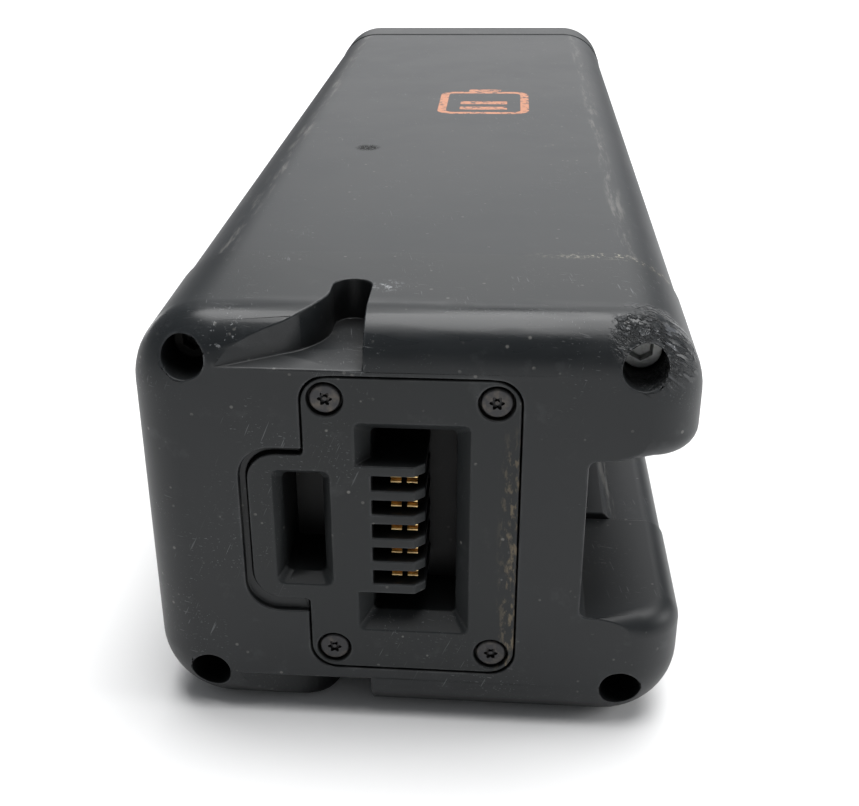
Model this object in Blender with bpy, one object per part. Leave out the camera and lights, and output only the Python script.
"""Swappable battery pack for a rental scooter, as an assembly of separate pieces.

A moulded tube (the main housing) holds 52 round cells that lie across it. A cap with
a filleted rim closes each end. The front cap (towards -Y) carries the blade connector,
and the rear cap (towards +Y) a folding carry handle. A channel along the right side
slides over the vehicle's rail. All sizes below are in millimetres, Z = 0 is the face
that the pack lies on, X = 0 and Y = 0 are mid-width and mid-length.
"""
import math

import bmesh
import bpy
from mathutils import Matrix, Vector

MM = 0.001

# Overall sizes
PACK_WIDTH = 103.5
PACK_HEIGHT = 85.5
PACK_LENGTH = 332.0
CORNER_RADIUS = 15.0
END_FILLET = 9.5
FRONT_CAP_LENGTH = 37.3
REAR_CAP_LENGTH = 25.0

# Fits that several pieces share
GAP = 0.3
HOUSING_WALL = 2.6
CAP_WALL = 5.0
CAP_PROUD = 0.3

# Side channel
CHANNEL_DEPTH = 19.9
CHANNEL_FLOOR = 26.0
CHANNEL_HEIGHT = 33.5
CHANNEL_CORNER = 1.5
MOUTH_RADIUS = 4.5
LEDGE_WIDTH = 7.0
LEDGE_HEIGHT = 1.5

# Joint between a cap and the housing
LIP_WIDTH = 1.5
LIP_LENGTH = 1.1
SPIGOT_LENGTH = 6.0
GASKET_THICKNESS = 0.8
FRONT_FACE_WALL = 12.5
REAR_FACE_WALL = 12.5

# Corner screws, four at each end
SCREW_INSET_X = 11.2
SCREW_INSET_TOP = 8.0
SCREW_INSET_BOTTOM = 9.3
SCREW_DIAMETER = 4.0
SCREW_HEAD_DIAMETER = 7.4
SCREW_HEAD_HEIGHT = 3.0
SCREW_HEAD_DEPTH = 9.5
SCREW_WELL_DIAMETER = 8.0
SCREW_SOCKET = 4.4
BOSS_WALL = 2.3
PORT_MERGE = 0.6
PORT_LENGTH = 12.0
SCREW_GRIP = 11.0

# Locking ramps in the top and the bottom of the front cap
RAMP_DEPTH = 8.0
RAMP_RIGHT = -8.3
RAMP_SLOT_WIDTH = 7.3
RAMP_LENGTH = 21.5
RAMP_SHOULDER = 6.2
RAMP_BLEND = 12.0
RAMP_SLOPE = math.radians(18.4)
RAMP_LEAD_LENGTH = 5.9
RAMP_LEAD_DROP = 1.4
RAMP_WALL = 3.0

# Connector cover, a plate let into the front cap
COVER_WIDTH = 39.3
COVER_HEIGHT = 62.6
COVER_CENTRE = 43.4
COVER_RADIUS = 5.0
COVER_THICKNESS = 3.2
COVER_SUNK = 0.2
TAB_REACH = 10.7
TAB_HEIGHT = 31.3
TAB_RADIUS = 5.5
TAB_ROOT_RADIUS = 2.0
COVER_SCREW_EDGE = 4.35
COVER_SCREW_DIAMETER = 3.0
COVER_SCREW_HEAD = 5.8
COVER_SCREW_WELL = 6.7
COVER_SCREW_SUNK = 1.9
COVER_SCREW_LENGTH = 9.0
COVER_SEAL_INSET = 0.8
COVER_SEAL_WIDTH = 1.6

# Connector well and its comb of blades
THROAT_WIDTH = 15.8
THROAT_HEIGHT = 39.5
THROAT_CENTRE_X = 0.3
THROAT_BEVEL = 2.7
THROAT_BEVEL_DEPTH = 3.7
WELL_DEPTH = 16.0
WELL_WALL = 2.4
FIN_COUNT = 6
FIN_PITCH = 5.08
FIN_THICKNESS = 2.1
FIN_REACH = 10.2
FIN_BEVEL = 2.0

# Finger pocket in the cover's tab
POCKET_WIDTH = 7.6
POCKET_HEIGHT = 21.5
POCKET_FROM_TAB = 6.2
POCKET_BEVEL = 1.7
POCKET_BEVEL_DEPTH = 2.5
POCKET_DEPTH = 16.0
POCKET_WALL = 1.6

# Contacts
CLIP_WIDTH = 5.0
CLIP_THICKNESS = 0.8
CLIP_SPLIT = 1.0
CLIP_FINGER_START = 2.2
CLIP_FINGER_LENGTH = 11.8
CLIP_TAIL = 3.0
CARRIER_THICKNESS = 7.5

# Cells and what joins them
CELL_DIAMETER = 18.4
CELL_LENGTH = 65.0
CELL_PITCH = 18.8
CELL_ROWS = 4
CELL_COLUMNS = 13
GLUE_WIDTH = 3.0
GLUE_LENGTH = 40.0
HOLDER_THICKNESS = 1.5
HOLDER_MARGIN = 2.2
HOLDER_WINDOW = 12.0
NICKEL_THICKNESS = 0.3
NICKEL_WIDTH = 14.0

# Battery management board and leads
BOARD_WIDTH = 52.0
BOARD_HEIGHT = 58.0
BOARD_THICKNESS = 1.6
BOARD_BEHIND_SPIGOT = 2.5
CHIP_HEIGHT = 4.5
LEAD_DIAMETER = 3.0
LEAD_DROP = 5.0
LEAD_BEND = 6.5
LEAD_BELOW_EDGE = 4.0

# Folding carry handle in the rear cap
RECESS_WIDTH = 62.0
RECESS_HEIGHT = 46.0
RECESS_CENTRE_X = -5.0
RECESS_BOTTOM = 24.0
RECESS_RADIUS = 6.0
RECESS_DEPTH = 14.0
RECESS_WALL = 3.0
HANDLE_SIDE_GAP = 2.5
HANDLE_ARM = 7.0
HANDLE_GRIP = 12.0
HANDLE_THICKNESS = 9.0
HANDLE_EDGE = 2.2
HANDLE_DROP = 37.0
PIVOT_BELOW_TOP = 7.0
PIVOT_DIAMETER = 5.0
PIVOT_REACH = 4.0

# Round shapes
ARC_STEPS = 4
FILLET_STEPS = 4
ROUND_SIDES = 14
CELL_SIDES = 12
SMALL_SIDES = 8
WINDOW_SIDES = 4

# Derived places
FRONT = -PACK_LENGTH / 2
REAR = PACK_LENGTH / 2
SPIGOT_INSET = CAP_PROUD + HOUSING_WALL + GAP
INNER_INSET = CAP_PROUD + HOUSING_WALL
CHANNEL_ROOF = CHANNEL_FLOOR + CHANNEL_HEIGHT
SCREW_SPOTS = [
    (side * (PACK_WIDTH / 2 - SCREW_INSET_X), height)
    for side in (-1, 1)
    for height in (SCREW_INSET_BOTTOM, PACK_HEIGHT - SCREW_INSET_TOP)
]
SCREW_SEAT = SCREW_HEAD_DEPTH + SCREW_HEAD_HEIGHT + GAP
COVER_FLOOR = COVER_SUNK + COVER_THICKNESS + GASKET_THICKNESS + 2 * GAP
COVER_SCREW_SPOTS = [
    (side * (COVER_WIDTH / 2 - COVER_SCREW_EDGE),
     COVER_CENTRE + end * (COVER_HEIGHT / 2 - COVER_SCREW_EDGE))
    for side in (-1, 1)
    for end in (-1, 1)
]
THROAT_LEFT = THROAT_CENTRE_X - THROAT_WIDTH / 2
POCKET_CENTRE_X = -COVER_WIDTH / 2 - TAB_REACH + POCKET_FROM_TAB + POCKET_WIDTH / 2
SLOT_CENTRES = [
    COVER_CENTRE + (slot - (FIN_COUNT - 2) / 2) * FIN_PITCH for slot in range(FIN_COUNT - 1)
]
CLIP_CENTRE_X = THROAT_LEFT + FIN_REACH / 2 + 1.1
CELL_LEFT_LIMIT = -PACK_WIDTH / 2 + INNER_INSET
CELL_RIGHT_LIMIT = PACK_WIDTH / 2 - CHANNEL_DEPTH - INNER_INSET
CELL_CENTRE_X = (CELL_LEFT_LIMIT + CELL_RIGHT_LIMIT) / 2
CELL_CENTRE_Y = (FRONT + FRONT_CAP_LENGTH + REAR - REAR_CAP_LENGTH) / 2
COLUMN_CENTRES = [
    CELL_CENTRE_Y + (column - (CELL_COLUMNS - 1) / 2) * CELL_PITCH
    for column in range(CELL_COLUMNS)
]
ROW_CENTRES = [
    PACK_HEIGHT / 2 + (row - (CELL_ROWS - 1) / 2) * CELL_PITCH for row in range(CELL_ROWS)
]
HOLDER_INNER = CELL_LENGTH / 2 + GAP
NICKEL_INNER = HOLDER_INNER + HOLDER_THICKNESS + GAP
BOARD_FRONT = FRONT + FRONT_CAP_LENGTH + SPIGOT_LENGTH + BOARD_BEHIND_SPIGOT
BOARD_RIGHT = CELL_CENTRE_X + BOARD_WIDTH / 2
RECESS_TOP = RECESS_BOTTOM + RECESS_HEIGHT
RECESS_LEFT = RECESS_CENTRE_X - RECESS_WIDTH / 2
RECESS_RIGHT = RECESS_CENTRE_X + RECESS_WIDTH / 2
PIVOT_Z = RECESS_TOP - PIVOT_BELOW_TOP
PIVOT_Y = REAR - RECESS_DEPTH / 2


def clear_scene():
    """Start from an empty scene."""
    for item in list(bpy.data.objects):
        bpy.data.objects.remove(item, do_unlink=True)


def make_material(name, colour, roughness, metallic=0.0):
    """A Principled material with its colour kept on the shader."""
    material = bpy.data.materials.new(name)
    material.use_nodes = True
    shader = material.node_tree.nodes["Principled BSDF"]
    shader.inputs["Base Color"].default_value = (*colour, 1.0)
    shader.inputs["Roughness"].default_value = roughness
    shader.inputs["Metallic"].default_value = metallic
    material.diffuse_color = (*colour, 1.0)
    return material


def rounded(corners):
    """Closed outline through corners (u, v, radius), each rounded by its own radius."""
    outline = []
    count = len(corners)
    for index, (u, v, radius) in enumerate(corners):
        corner = Vector((u, v))
        if radius <= 0:
            outline.append(corner)
            continue
        back = (Vector(corners[index - 1][:2]) - corner).normalized()
        ahead = (Vector(corners[(index + 1) % count][:2]) - corner).normalized()
        half = back.angle(ahead) / 2
        centre = corner + (back + ahead).normalized() * radius / math.sin(half)
        arm = corner + back * radius / math.tan(half) - centre
        turn = math.copysign(math.pi - 2 * half, back.x * -ahead.y + back.y * ahead.x)
        for step in range(ARC_STEPS + 1):
            outline.append(centre + Matrix.Rotation(turn * step / ARC_STEPS, 2) @ arm)
    return outline


def rectangle(left, right, low, high, radius=0.0):
    """Rounded rectangle as an outline."""
    return rounded([(left, low, radius), (right, low, radius),
                    (right, high, radius), (left, high, radius)])


def circle(u, v, radius, sides=ROUND_SIDES):
    """Circle as an outline."""
    turns = [2 * math.pi * side / sides for side in range(sides)]
    return [Vector((u + radius * math.cos(turn), v + radius * math.sin(turn))) for turn in turns]


def lift(point, height, axis):
    """Place a flat point at a height along an axis, as a point in space."""
    if axis == "X":
        return Vector((height, point[0], point[1]))
    if axis == "Y":
        return Vector((point[0], height, point[1]))
    return Vector((point[0], point[1], height))


def finish_mesh(name, mesh_builder):
    """Turn a bmesh in millimetres into a linked object in metres."""
    bmesh.ops.recalc_face_normals(mesh_builder, faces=mesh_builder.faces)
    bmesh.ops.scale(mesh_builder, vec=(MM, MM, MM), verts=mesh_builder.verts)
    mesh = bpy.data.meshes.new(name)
    mesh_builder.to_mesh(mesh)
    mesh_builder.free()
    piece = bpy.data.objects.new(name, mesh)
    bpy.context.scene.collection.objects.link(piece)
    return piece


def loft(name, rings):
    """Closed solid through rings of equal count, with a flat face at each end."""
    builder = bmesh.new()
    loops = [[builder.verts.new(point) for point in ring] for ring in rings]
    builder.faces.new(loops[0])
    builder.faces.new(loops[-1])
    for near, far in zip(loops, loops[1:]):
        for index in range(len(near)):
            following = (index + 1) % len(near)
            builder.faces.new((near[index], near[following], far[following], far[index]))
    return finish_mesh(name, builder)


def prism(name, outline, start, end, axis="Y"):
    """An outline pushed along an axis."""
    return loft(name, [[lift(point, height, axis) for point in outline] for height in (start, end)])


def turned(name, centre, profile, axis="Y", sides=ROUND_SIDES):
    """A round solid from (radius, height) steps along an axis through a centre."""
    return loft(name, [[lift(point, height, axis) for point in circle(*centre, radius, sides)]
                       for radius, height in profile])


def perforated(name, outline, holes, start, end, axis):
    """A flat plate whose outline and holes are filled as one face, then pushed through."""
    builder = bmesh.new()
    edges = []
    for loop in [outline] + holes:
        verts = [builder.verts.new(lift(point, start, axis)) for point in loop]
        for index, vert in enumerate(verts):
            edges.append(builder.edges.new((vert, verts[(index + 1) % len(verts)])))
    bmesh.ops.triangle_fill(builder, edges=edges, use_beauty=True)
    pushed = bmesh.ops.extrude_face_region(builder, geom=builder.faces[:])
    moved = [item for item in pushed["geom"] if isinstance(item, bmesh.types.BMVert)]
    bmesh.ops.translate(builder, vec=lift((0, 0), end - start, axis), verts=moved)
    return finish_mesh(name, builder)


def combine(target, tools, operation="DIFFERENCE"):
    """Cut, join or intersect a piece with tools, and drop the tools."""
    for tool in tools:
        modifier = target.modifiers.new(operation.title(), "BOOLEAN")
        modifier.operation = operation
        modifier.solver = "EXACT"
        modifier.object = tool
    graph = bpy.context.evaluated_depsgraph_get()
    mesh = bpy.data.meshes.new_from_object(target.evaluated_get(graph))
    target.modifiers.clear()
    target.data = mesh
    for tool in tools:
        bpy.data.objects.remove(tool, do_unlink=True)
    return target


def settle(piece, material, origin, parent):
    """Give a piece its material, shading and origin, and hang it on the pack."""
    piece.data.name = piece.name
    piece.data.materials.clear()
    piece.data.materials.append(material)
    origin = Vector(origin) * MM
    piece.data.transform(Matrix.Translation(-origin))
    piece.location = origin
    piece.parent = parent
    piece.data.shade_smooth()
    piece.data.set_sharp_from_angle(angle=math.radians(35))
    return piece


def section(edge, channel, ledge=0.0):
    """The pack's cross-section, drawn in by one amount at its edges and one at its channel."""
    left = -PACK_WIDTH / 2 + edge
    right = PACK_WIDTH / 2 - edge
    radius = CORNER_RADIUS - edge
    wall = PACK_WIDTH / 2 - CHANNEL_DEPTH - channel
    floor = CHANNEL_FLOOR - channel
    roof = CHANNEL_ROOF + channel
    mouth = max(MOUTH_RADIUS - channel, GAP)
    inner = CHANNEL_CORNER + channel
    corners = [(left, edge, radius), (right, edge, radius), (right, floor, mouth)]
    if ledge:
        corners += [(wall + LEDGE_WIDTH + ledge, floor, 0), (wall + LEDGE_WIDTH, floor + ledge, 0)]
    corners += [
        (wall, floor + ledge, inner),
        (wall, roof, inner),
        (right, roof, mouth),
        (right, PACK_HEIGHT - edge, radius),
        (left, PACK_HEIGHT - edge, radius),
    ]
    return rounded(corners)


def cap_shell(name, length, place):
    """Outside of an end cap: filleted rim, straight side, lip over the gasket, spigot."""
    rings = []
    for step in range(FILLET_STEPS + 1):
        turn = math.pi / 2 * step / FILLET_STEPS
        rings.append((END_FILLET * (1 - math.cos(turn)), END_FILLET * (1 - math.sin(turn)), 0))
    shoulder = length - GAP - LIP_LENGTH
    rings.append((length - GAP, 0, 0))
    rings.append((length - GAP, LIP_WIDTH, LIP_WIDTH))
    rings.append((shoulder, LIP_WIDTH, LIP_WIDTH))
    rings.append((shoulder, SPIGOT_INSET, SPIGOT_INSET))
    rings.append((length + SPIGOT_LENGTH, SPIGOT_INSET, SPIGOT_INSET))
    return loft(name, [[lift(point, place(depth), "Y") for point in section(edge, channel)]
                       for depth, edge, channel in rings])


def cap_hollow(length, face_wall, place, solids):
    """Cutter for the inside of a cap, which leaves the given solids and the screw bosses."""
    hollow = prism("hollow", section(CAP_WALL, CAP_WALL), place(face_wall),
                   place(length + SPIGOT_LENGTH + 1))
    boss_radius = SCREW_DIAMETER / 2 + GAP + BOSS_WALL
    shoulder = length - GAP - LIP_LENGTH
    bosses = [turned("boss", spot, [(boss_radius, place(face_wall - 1)),
                                    (boss_radius, place(shoulder))], sides=SMALL_SIDES)
              for spot in SCREW_SPOTS]
    return combine(hollow, solids + bosses)


def port_radius(spot):
    """Radius that makes a screw's port just merge with the housing's rounded corner."""
    across = CORNER_RADIUS - (PACK_WIDTH / 2 - abs(spot[0]))
    up = CORNER_RADIUS - min(spot[1], PACK_HEIGHT - spot[1])
    return CORNER_RADIUS - INNER_INSET + PORT_MERGE - math.hypot(max(across, 0), max(up, 0))


def cap_screw_cutters(length, place):
    """Head wells, clearance bores and room for the housing's ports."""
    cutters = []
    bore = SCREW_DIAMETER / 2 + GAP
    for spot in SCREW_SPOTS:
        cutters.append(turned("well", spot, [(SCREW_WELL_DIAMETER / 2, place(-1)),
                                             (SCREW_WELL_DIAMETER / 2, place(SCREW_SEAT))]))
        cutters.append(turned("bore", spot, [(bore, place(SCREW_SEAT - 1)),
                                             (bore, place(length))], sides=SMALL_SIDES))
        room = port_radius(spot) + GAP
        cutters.append(turned("port_room", spot, [(room, place(length - GAP)),
                                                  (room, place(length + SPIGOT_LENGTH + 1))]))
    return cutters


def from_front(depth):
    """Y of a depth behind the front face."""
    return FRONT + depth


def from_rear(depth):
    """Y of a depth ahead of the rear face."""
    return REAR - depth


def ramp_outline():
    """Plan of a locking ramp: a sloping mouth that blends into a slot with a round end."""
    slot_left = RAMP_RIGHT - RAMP_SLOT_WIDTH
    end = from_front(RAMP_LENGTH)
    mouth = slot_left - (RAMP_SHOULDER + 1) / math.tan(RAMP_SLOPE)
    half_slot = RAMP_SLOT_WIDTH / 2 - GAP / 10
    return rounded([
        (mouth, from_front(-1), 0),
        (RAMP_RIGHT, from_front(-1), 0),
        (RAMP_RIGHT, end, half_slot),
        (slot_left, end, half_slot),
        (slot_left, from_front(RAMP_SHOULDER), RAMP_BLEND),
    ])


def ramp_cutters(outside, inward):
    """A ramp in the top (inward = -1) or the bottom (inward = 1) of the front cap."""
    floor = outside + inward * RAMP_DEPTH
    low = floor + inward * (2 * RAMP_LEAD_DROP + 1)
    slot = prism("ramp", ramp_outline(), outside - inward, floor, "Z")
    lead = prism("lead", ramp_outline(), floor - inward, low, "Z")
    slope = RAMP_LEAD_DROP / RAMP_LEAD_LENGTH
    wedge = prism("wedge", [(from_front(-2), floor - 2 * inward),
                            (from_front(RAMP_LEAD_LENGTH), floor - 2 * inward),
                            (from_front(RAMP_LEAD_LENGTH), floor),
                            (from_front(-2), floor + inward * slope * (RAMP_LEAD_LENGTH + 2))],
                  -PACK_WIDTH / 2, PACK_WIDTH / 2, "X")
    return [slot, combine(lead, [wedge], "INTERSECT")]


def ramp_block(outside, inward):
    """Solid that stays around a ramp inside the cap."""
    left = RAMP_RIGHT - RAMP_SLOT_WIDTH - RAMP_SHOULDER / math.tan(RAMP_SLOPE)
    floor = outside + inward * (RAMP_DEPTH + RAMP_WALL)
    low, high = sorted((floor, outside - inward))
    return prism("block", rectangle(left, RAMP_RIGHT + RAMP_WALL, low, high),
                 from_front(FRONT_FACE_WALL - 1), from_front(RAMP_LENGTH + RAMP_WALL))


def cover_outline(grow=0.0):
    """Outline of the connector cover with its tab, grown or drawn in all round."""
    right = COVER_WIDTH / 2 + grow
    low = COVER_CENTRE - COVER_HEIGHT / 2 - grow
    high = COVER_CENTRE + COVER_HEIGHT / 2 + grow
    tab_low = COVER_CENTRE - TAB_HEIGHT / 2 - grow
    tab_high = COVER_CENTRE + TAB_HEIGHT / 2 + grow
    tab_left = -right - TAB_REACH
    radius = COVER_RADIUS + grow
    tab_radius = TAB_RADIUS + grow
    root = TAB_ROOT_RADIUS - grow
    return rounded([
        (-right, low, radius), (right, low, radius), (right, high, radius), (-right, high, radius),
        (-right, tab_high, root), (tab_left, tab_high, tab_radius),
        (tab_left, tab_low, tab_radius), (-right, tab_low, root),
    ])


def throat_outline(grow=0.0):
    """Outline of the connector's opening."""
    return rectangle(THROAT_LEFT - grow, THROAT_LEFT + THROAT_WIDTH + grow,
                     COVER_CENTRE - THROAT_HEIGHT / 2 - grow,
                     COVER_CENTRE + THROAT_HEIGHT / 2 + grow, 1.0 + grow)


def pocket_outline(grow=0.0):
    """Outline of the finger pocket in the tab."""
    return rectangle(POCKET_CENTRE_X - POCKET_WIDTH / 2 - grow,
                     POCKET_CENTRE_X + POCKET_WIDTH / 2 + grow,
                     COVER_CENTRE - POCKET_HEIGHT / 2 - grow,
                     COVER_CENTRE + POCKET_HEIGHT / 2 + grow, 1.5 + grow)


def funnel(outline, bevel, bevel_depth, bottom):
    """Cutter of an opening whose rim is bevelled."""
    over = 1.0 + COVER_SUNK
    rings = [(bevel * (1 + over / bevel_depth), -over + COVER_SUNK),
             (0, bevel_depth + COVER_SUNK), (0, bottom)]
    return loft("funnel", [[lift(point, from_front(depth), "Y") for point in outline(grow)]
                           for grow, depth in rings])


def build_front_cap(material, pack):
    """Front cap with screw wells, both locking ramps and the seat of the cover."""
    cap = cap_shell("front_cap", FRONT_CAP_LENGTH, from_front)
    blocks = [ramp_block(PACK_HEIGHT, -1), ramp_block(0, 1)]
    cutters = [cap_hollow(FRONT_CAP_LENGTH, FRONT_FACE_WALL, from_front, blocks)]
    cutters += cap_screw_cutters(FRONT_CAP_LENGTH, from_front)
    cutters += ramp_cutters(PACK_HEIGHT, -1) + ramp_cutters(0, 1)
    cutters.append(prism("seat", cover_outline(GAP), from_front(-1), from_front(COVER_FLOOR)))
    behind = from_front(FRONT_FACE_WALL + 1)
    cutters.append(prism("well_room", throat_outline(WELL_WALL + GAP), from_front(1), behind))
    cutters.append(prism("pocket_room", pocket_outline(POCKET_WALL + GAP), from_front(1), behind))
    pilot = COVER_SCREW_DIAMETER / 2 + GAP
    for spot in COVER_SCREW_SPOTS:
        cutters.append(turned("pilot", spot, [(pilot, from_front(1)), (pilot, behind)],
                              sides=SMALL_SIDES))
    combine(cap, cutters)
    return settle(cap, material, (0, FRONT, PACK_HEIGHT / 2), pack)


def build_rear_cap(material, pack):
    """Rear cap with screw wells, the handle's recess and the bore of its pivot."""
    cap = cap_shell("rear_cap", REAR_CAP_LENGTH, from_rear)
    block = prism("block", rectangle(RECESS_LEFT - RECESS_WALL, RECESS_RIGHT + RECESS_WALL,
                                     RECESS_BOTTOM - RECESS_WALL, RECESS_TOP + RECESS_WALL,
                                     RECESS_RADIUS + RECESS_WALL),
                  from_rear(1), from_rear(RECESS_DEPTH + RECESS_WALL))
    cutters = [cap_hollow(REAR_CAP_LENGTH, REAR_FACE_WALL, from_rear, [block])]
    cutters += cap_screw_cutters(REAR_CAP_LENGTH, from_rear)
    cutters.append(prism("recess", rectangle(RECESS_LEFT, RECESS_RIGHT, RECESS_BOTTOM, RECESS_TOP,
                                             RECESS_RADIUS), from_rear(-1),
                         from_rear(RECESS_DEPTH)))
    bore = PIVOT_DIAMETER / 2 + GAP
    cutters.append(turned("pivot_bore", (PIVOT_Y, PIVOT_Z),
                          [(bore, -PACK_WIDTH / 2 - 1), (bore, RECESS_RIGHT + PIVOT_REACH + GAP)],
                          "X", SMALL_SIDES))
    combine(cap, cutters)
    return settle(cap, material, (0, REAR, PACK_HEIGHT / 2), pack)


def build_housing(material, pack):
    """Tube with the side channel, its ledge, and a threaded port at each corner of each end."""
    start = from_front(FRONT_CAP_LENGTH)
    end = from_rear(REAR_CAP_LENGTH)
    tube = prism("main_housing", section(CAP_PROUD, CAP_PROUD, LEDGE_HEIGHT), start, end)
    hollow = prism("hollow", section(INNER_INSET, INNER_INSET), start - 1, end + 1)
    ports = []
    bores = []
    bore = SCREW_DIAMETER / 2 + GAP
    for spot in SCREW_SPOTS:
        for outer, inward in ((start, 1), (end, -1)):
            radius = port_radius(spot)
            ports.append(turned("port", spot, [(radius, outer - 2 * inward),
                                               (radius, outer + inward * PORT_LENGTH)]))
            bores.append(turned("bore", spot, [(bore, outer - inward),
                                               (bore, outer + inward * (PORT_LENGTH + 1))],
                                sides=SMALL_SIDES))
    combine(hollow, ports)
    combine(tube, [hollow] + bores)
    return settle(tube, material, (0, CELL_CENTRE_Y, PACK_HEIGHT / 2), pack)


def build_gasket(name, length, place, material, pack):
    """Flat seal between a cap's shoulder and the end of the housing."""
    outer = section(LIP_WIDTH + GAP, LIP_WIDTH + GAP)
    inner = section(INNER_INSET, INNER_INSET)
    top = length - GAP
    seal = perforated(name, outer, [inner], place(top), place(top - GASKET_THICKNESS), "Y")
    return settle(seal, material, (0, place(top), PACK_HEIGHT / 2), pack)


def build_cover(material, pack):
    """Connector cover: plate with tab, connector well with its comb, finger pocket."""
    face = from_front(COVER_SUNK)
    back = from_front(COVER_SUNK + COVER_THICKNESS)
    cover = prism("connector_cover", cover_outline(), face, back)
    inside = from_front(COVER_SUNK + COVER_THICKNESS / 2)
    combine(cover, [
        prism("well", throat_outline(WELL_WALL), inside, from_front(WELL_DEPTH)),
        prism("pocket", pocket_outline(POCKET_WALL), inside,
              from_front(POCKET_DEPTH + POCKET_WALL)),
    ], "UNION")
    cutters = [funnel(throat_outline, THROAT_BEVEL, THROAT_BEVEL_DEPTH, WELL_DEPTH + 1),
               funnel(pocket_outline, POCKET_BEVEL, POCKET_BEVEL_DEPTH, POCKET_DEPTH)]
    seat = from_front(COVER_SUNK + COVER_SCREW_SUNK)
    for spot in COVER_SCREW_SPOTS:
        cutters.append(turned("well", spot, [(COVER_SCREW_WELL / 2, from_front(-1)),
                                             (COVER_SCREW_WELL / 2, seat)]))
        cutters.append(turned("hole", spot, [(COVER_SCREW_DIAMETER / 2 + GAP, from_front(-1)),
                                             (COVER_SCREW_DIAMETER / 2 + GAP, back + 1)],
                              sides=SMALL_SIDES))
    combine(cover, cutters)
    root = THROAT_LEFT - THROAT_BEVEL
    right = THROAT_LEFT + FIN_REACH
    comb_half = (FIN_PITCH * (FIN_COUNT - 1) + FIN_THICKNESS) / 2
    tools = [prism("comb_root", rectangle(root - 1, THROAT_LEFT + GAP, COVER_CENTRE - comb_half,
                                          COVER_CENTRE + comb_half), face, back)]
    left = THROAT_LEFT - WELL_WALL / 2
    blade = [(left, face), (right - FIN_BEVEL, face), (right, face + FIN_BEVEL),
             (right, from_front(WELL_DEPTH)), (left, from_front(WELL_DEPTH))]
    for fin in range(FIN_COUNT):
        centre = COVER_CENTRE + (fin - (FIN_COUNT - 1) / 2) * FIN_PITCH
        tools.append(prism("fin", blade, centre - FIN_THICKNESS / 2, centre + FIN_THICKNESS / 2,
                           "Z"))
    combine(cover, tools, "UNION")
    return settle(cover, material, (0, face, COVER_CENTRE), pack)


def build_cover_seal(material, pack):
    """Seal under the rim of the connector cover."""
    outer = cover_outline(-COVER_SEAL_INSET)
    inner = cover_outline(-COVER_SEAL_INSET - COVER_SEAL_WIDTH)
    front = COVER_SUNK + COVER_THICKNESS + GAP
    seal = perforated("connector_gasket", outer, [inner], from_front(front),
                      from_front(front + GASKET_THICKNESS), "Y")
    return settle(seal, material, (0, from_front(front), COVER_CENTRE), pack)


def build_cap_screw(name, spot, length, place, material, pack):
    """Socket screw that pulls a cap onto the housing."""
    head = SCREW_HEAD_DIAMETER / 2
    shank = SCREW_DIAMETER / 2
    under = SCREW_HEAD_DEPTH + SCREW_HEAD_HEIGHT
    screw = turned(name, spot, [
        (head - 0.4, place(SCREW_HEAD_DEPTH)), (head, place(SCREW_HEAD_DEPTH + 0.4)),
        (head, place(under)), (shank, place(under)), (shank, place(length + SCREW_GRIP - 0.8)),
        (shank - 0.8, place(length + SCREW_GRIP)),
    ], sides=SMALL_SIDES)
    socket = turned("socket", spot, [(SCREW_SOCKET / 2, place(SCREW_HEAD_DEPTH - 1)),
                                     (SCREW_SOCKET / 2, place(SCREW_HEAD_DEPTH + 2))], sides=6)
    combine(screw, [socket])
    return settle(screw, material, (spot[0], place(SCREW_HEAD_DEPTH), spot[1]), pack)


def build_cover_screw(name, spot, material, pack):
    """Tamper-proof screw of the connector cover, with a pin in its socket."""
    seat = from_front(COVER_SUNK + COVER_SCREW_SUNK - GAP)
    head = COVER_SCREW_HEAD / 2
    top = seat - COVER_SCREW_SUNK + 2 * GAP
    shank = COVER_SCREW_DIAMETER / 2
    screw = turned(name, spot, [(head - 0.3, top), (head, top + 0.3), (head, seat),
                                (shank, seat), (shank, seat + COVER_SCREW_LENGTH)],
                   sides=SMALL_SIDES)
    socket = perforated("socket", circle(*spot, 1.3, 6), [circle(*spot, 0.5, 6)],
                        top - 1, top + 0.8, "Y")
    combine(screw, [socket])
    return settle(screw, material, (spot[0], top, spot[1]), pack)


def build_clip(name, height, material, pack):
    """Contact with two spring fingers in the comb and a tail behind the carrier."""
    half = CLIP_WIDTH / 2
    split = CLIP_SPLIT / 2
    start = from_front(CLIP_FINGER_START)
    root = start + CLIP_FINGER_LENGTH
    end = from_front(WELL_DEPTH + GAP + CARRIER_THICKNESS + CLIP_TAIL)
    outline = [Vector((CLIP_CENTRE_X + u, v)) for u, v in (
        (-half, start), (-split, start), (-split, root), (split, root),
        (split, start), (half, start), (half, end), (-half, end))]
    clip = prism(name, outline, height - CLIP_THICKNESS / 2, height + CLIP_THICKNESS / 2, "Z")
    return settle(clip, material, (CLIP_CENTRE_X, root, height), pack)


def build_carrier(material, pack):
    """Block behind the connector well that holds the contacts."""
    front = from_front(WELL_DEPTH + GAP)
    slots = [rectangle(CLIP_CENTRE_X - CLIP_WIDTH / 2 - GAP, CLIP_CENTRE_X + CLIP_WIDTH / 2 + GAP,
                       height - CLIP_THICKNESS / 2 - GAP, height + CLIP_THICKNESS / 2 + GAP)
             for height in SLOT_CENTRES]
    carrier = perforated("contact_carrier", throat_outline(WELL_WALL), slots, front,
                         front + CARRIER_THICKNESS, "Y")
    return settle(carrier, material, (0, front, COVER_CENTRE), pack)


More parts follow.
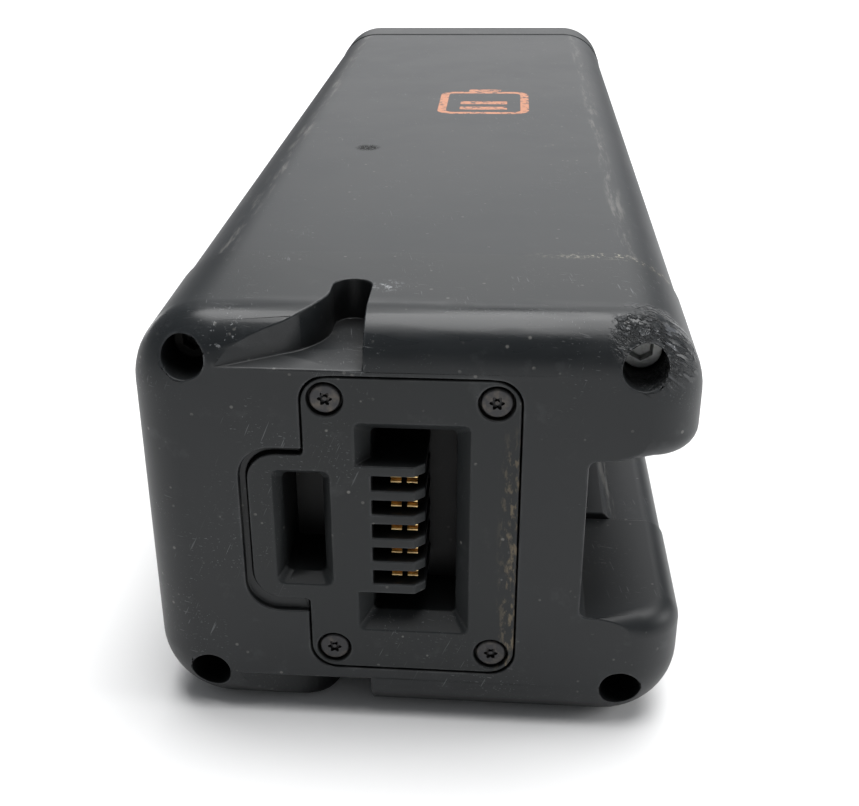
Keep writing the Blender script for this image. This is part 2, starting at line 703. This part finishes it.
def build_cell_group(name, column_centre, material, pack):
    """Four cells of one parallel group, one above the other, with the glue between them."""
    left = CELL_CENTRE_X - CELL_LENGTH / 2
    right = CELL_CENTRE_X + CELL_LENGTH / 2
    cells = [prism(name, circle(column_centre, height, CELL_DIAMETER / 2, CELL_SIDES), left, right,
                   "X")
             for height in ROW_CENTRES]
    glue = [prism("glue", rectangle(CELL_CENTRE_X - GLUE_LENGTH / 2, CELL_CENTRE_X + GLUE_LENGTH / 2,
                                    height + CELL_PITCH / 2 - 1, height + CELL_PITCH / 2 + 1),
                  column_centre - GLUE_WIDTH / 2, column_centre + GLUE_WIDTH / 2)
            for height in ROW_CENTRES[:-1]]
    group = combine(cells[0], cells[1:] + glue, "UNION")
    return settle(group, material, (CELL_CENTRE_X, column_centre, PACK_HEIGHT / 2), pack)


def build_holder(name, side, material, pack):
    """Plate over one end of all the cells, with a window at each terminal."""
    length = CELL_PITCH * (CELL_COLUMNS - 1) / 2 + CELL_DIAMETER / 2
    height = CELL_PITCH * (CELL_ROWS - 1) / 2 + CELL_DIAMETER / 2 - HOLDER_MARGIN
    middle = PACK_HEIGHT / 2
    outline = rectangle(CELL_CENTRE_Y - length, CELL_CENTRE_Y + length, middle - height,
                        middle + height, 5)
    windows = [circle(column, row, HOLDER_WINDOW / 2, WINDOW_SIDES)
               for column in COLUMN_CENTRES for row in ROW_CENTRES]
    inner = CELL_CENTRE_X + side * HOLDER_INNER
    plate = perforated(name, outline, windows, inner, inner + side * HOLDER_THICKNESS, "X")
    return settle(plate, material, (inner, CELL_CENTRE_Y, middle), pack)


def build_nickel(name, side, columns, material, pack):
    """Nickel strip welded over one or two parallel groups."""
    inner = CELL_CENTRE_X + side * NICKEL_INNER
    half = NICKEL_WIDTH / 2
    outline = rectangle(COLUMN_CENTRES[columns[0]] - half, COLUMN_CENTRES[columns[-1]] + half,
                        ROW_CENTRES[0] - half, ROW_CENTRES[-1] + half)
    strip = prism(name, outline, inner, inner + side * NICKEL_THICKNESS, "X")
    middle = (COLUMN_CENTRES[columns[0]] + COLUMN_CENTRES[columns[-1]]) / 2
    return settle(strip, material, (inner, middle, PACK_HEIGHT / 2), pack)


def build_board(material, pack):
    """Battery management board with its chips, chokes and terminal block."""
    left = CELL_CENTRE_X - BOARD_WIDTH / 2
    low = PACK_HEIGHT / 2 - BOARD_HEIGHT / 2
    back = BOARD_FRONT + BOARD_THICKNESS
    board = prism("bms_board", rectangle(left, BOARD_RIGHT, low, low + BOARD_HEIGHT, 2),
                  BOARD_FRONT, back)
    middle = (BOARD_FRONT + back) / 2
    chips = [(0.40, 0.22, 9, 9), (0.63, 0.22, 9, 9), (0.86, 0.22, 9, 9), (0.48, 0.52, 12, 12),
             (0.80, 0.56, 14, 6), (0.62, 0.90, 30, 5)]
    tools = []
    for across, up, width, height in chips:
        u = left + across * BOARD_WIDTH
        v = low + up * BOARD_HEIGHT
        tools.append(prism("chip", rectangle(u - width / 2, u + width / 2, v - height / 2,
                                             v + height / 2), BOARD_FRONT - CHIP_HEIGHT, middle))
    combine(board, tools, "UNION")
    return settle(board, material, (CELL_CENTRE_X, middle, PACK_HEIGHT / 2), pack)


def smooth_route(stops, count):
    """Points along a Catmull-Rom curve through the stops."""
    stops = [Vector(stop) for stop in stops]
    padded = [2 * stops[0] - stops[1]] + stops + [2 * stops[-1] - stops[-2]]
    spans = len(stops) - 1
    route = []
    for index in range(count):
        position = index / (count - 1) * spans
        span = min(int(position), spans - 1)
        t = position - span
        a, b, c, d = padded[span:span + 4]
        route.append(0.5 * (2 * b + (c - a) * t + (2 * a - 5 * b + 4 * c - d) * t ** 2
                            + (3 * b - a - 3 * c + d) * t ** 3))
    return route


def build_lead(name, stops, count, material, pack):
    """Insulated lead along a smooth route."""
    curve = bpy.data.curves.new(name, "CURVE")
    curve.dimensions = "3D"
    curve.bevel_depth = LEAD_DIAMETER / 2 * MM
    curve.bevel_resolution = 2
    curve.use_fill_caps = True
    spline = curve.splines.new("POLY")
    spline.points.add(count - 1)
    origin = Vector(stops[0]) * MM
    for point, place in zip(spline.points, smooth_route(stops, count)):
        point.co = (*(place * MM - origin), 1.0)
    curve.materials.append(material)
    lead = bpy.data.objects.new(name, curve)
    lead.location = origin
    lead.parent = pack
    bpy.context.scene.collection.objects.link(lead)
    return lead


def build_leads(materials, pack):
    """Two leads from the outer contacts to the board, and one from the last cells to it."""
    start = from_front(WELL_DEPTH + GAP + CARRIER_THICKNESS + CLIP_TAIL) + GAP
    end = BOARD_FRONT - GAP
    pad_x = CELL_CENTRE_X - BOARD_WIDTH / 2 + LEAD_DIAMETER
    for name, height, drop, key in (("positive_lead", SLOT_CENTRES[-1], LEAD_DROP, "red"),
                                    ("negative_lead", SLOT_CENTRES[0], -LEAD_DROP, "black")):
        middle = ((CLIP_CENTRE_X + pad_x) / 2, (start + end) / 2, height + drop / 2)
        stops = [(CLIP_CENTRE_X, start, height), (CLIP_CENTRE_X - 1, start + 3, height), middle,
                 (pad_x + 1, end - 3, height + drop), (pad_x, end, height + drop)]
        build_lead(name, stops, 13, materials[key], pack)
    height = PACK_HEIGHT / 2 + BOARD_HEIGHT / 2 - LEAD_BELOW_EDGE
    nickel = CELL_CENTRE_X + NICKEL_INNER + NICKEL_THICKNESS + GAP
    run = nickel + LEAD_BEND
    last = COLUMN_CENTRES[-1]
    board = BOARD_FRONT + BOARD_THICKNESS / 2
    edge = BOARD_RIGHT + GAP
    bend = LEAD_BEND
    stops = [(nickel, last, height), (nickel + bend * 0.4, last, height),
             (run - bend * 0.3, last - bend * 0.3, height), (run, last - bend, height),
             (run, last - 3 * bend, height), (run, (last + board) / 2, height),
             (run, board + 3 * bend, height), (run, board + bend, height),
             (run - bend * 0.3, board + bend * 0.3, height), (run - bend, board, height),
             (edge + bend * 0.4, board, height), (edge, board, height)]
    build_lead("cell_lead", stops, 40, materials["red"], pack)


def build_handle(material, pack):
    """Folding bail that hangs flat in the recess and swings out about its pivot."""
    left = RECESS_LEFT + HANDLE_SIDE_GAP
    right = RECESS_RIGHT - HANDLE_SIDE_GAP
    low = PIVOT_Z - HANDLE_DROP
    high = PIVOT_Z + HANDLE_THICKNESS / 2
    inner = low + HANDLE_GRIP
    outline = rounded([
        (left, low, 8), (right, low, 8), (right, high, 0), (right - HANDLE_ARM, high, 0),
        (right - HANDLE_ARM, inner, 5), (left + HANDLE_ARM, inner, 5),
        (left + HANDLE_ARM, high, 0), (left, high, 0),
    ])
    handle = prism("handle", outline, PIVOT_Y - HANDLE_THICKNESS / 2,
                   PIVOT_Y + HANDLE_THICKNESS / 2)
    bevel = handle.modifiers.new("Edges", "BEVEL")
    bevel.width = HANDLE_EDGE * MM
    bevel.segments = 2
    bevel.limit_method = "ANGLE"
    bevel.angle_limit = math.radians(40)
    bore = PIVOT_DIAMETER / 2 + GAP
    combine(handle, [turned("bore", (PIVOT_Y, PIVOT_Z),
                            [(bore, left - 1), (bore, right + 1)], "X", SMALL_SIDES)])
    return settle(handle, material, (RECESS_CENTRE_X, PIVOT_Y, PIVOT_Z), pack)


def build_pivot(material, pack):
    """Steel rod that the handle turns on."""
    radius = PIVOT_DIAMETER / 2
    left = -PACK_WIDTH / 2 + PIVOT_REACH
    right = RECESS_RIGHT + PIVOT_REACH
    rod = turned("handle_pivot_rod", (PIVOT_Y, PIVOT_Z),
                 [(radius - 0.4, left), (radius, left + 0.4), (radius, right - 0.4),
                  (radius - 0.4, right)], "X", SMALL_SIDES)
    return settle(rod, material, (RECESS_CENTRE_X, PIVOT_Y, PIVOT_Z), pack)


def build_pack():
    """All pieces of the pack, each in its place."""
    clear_scene()
    pack = bpy.data.objects.new("battery_pack", None)
    bpy.context.scene.collection.objects.link(pack)
    body = make_material("body_plastic", (0.040, 0.046, 0.052), 0.42)
    cap = make_material("cap_plastic", (0.030, 0.036, 0.042), 0.38)
    cover = make_material("cover_plastic", (0.034, 0.039, 0.043), 0.50)
    grip = make_material("handle_plastic", (0.045, 0.048, 0.050), 0.55)
    rubber = make_material("seal_rubber", (0.015, 0.015, 0.016), 0.85)
    zinc = make_material("zinc_steel", (0.62, 0.62, 0.60), 0.35, 1.0)
    black_steel = make_material("black_steel", (0.05, 0.05, 0.055), 0.45, 0.9)
    brass = make_material("contact_brass", (0.80, 0.58, 0.28), 0.30, 1.0)
    carrier = make_material("carrier_plastic", (0.02, 0.02, 0.022), 0.60)
    sleeve = make_material("cell_sleeve", (0.05, 0.28, 0.45), 0.40)
    holder = make_material("holder_plastic", (0.16, 0.16, 0.17), 0.60)
    nickel = make_material("nickel_strip", (0.70, 0.68, 0.62), 0.30, 1.0)
    board = make_material("board_green", (0.02, 0.16, 0.07), 0.45)
    leads = {"red": make_material("red_insulation", (0.45, 0.02, 0.02), 0.50),
             "black": make_material("black_insulation", (0.02, 0.02, 0.02), 0.50)}

    build_housing(body, pack)
    build_front_cap(cap, pack)
    build_rear_cap(cap, pack)
    build_gasket("front_gasket", FRONT_CAP_LENGTH, from_front, rubber, pack)
    build_gasket("rear_gasket", REAR_CAP_LENGTH, from_rear, rubber, pack)
    build_cover(cover, pack)
    build_cover_seal(rubber, pack)
    for number, spot in enumerate(COVER_SCREW_SPOTS, 1):
        build_cover_screw(f"cover_screw_{number}", spot, black_steel, pack)
    for number, spot in enumerate(SCREW_SPOTS, 1):
        build_cap_screw(f"front_cap_screw_{number}", spot, FRONT_CAP_LENGTH, from_front, zinc, pack)
        build_cap_screw(f"rear_cap_screw_{number}", spot, REAR_CAP_LENGTH, from_rear, zinc, pack)
    for number, height in enumerate(SLOT_CENTRES, 1):
        build_clip(f"contact_clip_{number}", height, brass, pack)
    build_carrier(carrier, pack)
    for number, centre in enumerate(COLUMN_CENTRES, 1):
        build_cell_group(f"cell_group_{number:02d}", centre, sleeve, pack)
    build_holder("cell_holder_left", -1, holder, pack)
    build_holder("cell_holder_right", 1, holder, pack)
    last = CELL_COLUMNS - 1
    for side, word, first in ((-1, "left", -1), (1, "right", 0)):
        for number, start in enumerate(range(first, CELL_COLUMNS, 2), 1):
            columns = (max(start, 0), min(start + 1, last))
            build_nickel(f"nickel_{word}_{number}", side, columns, nickel, pack)
    build_board(board, pack)
    build_leads(leads, pack)
    build_handle(grip, pack)
    build_pivot(zinc, pack)


build_pack()
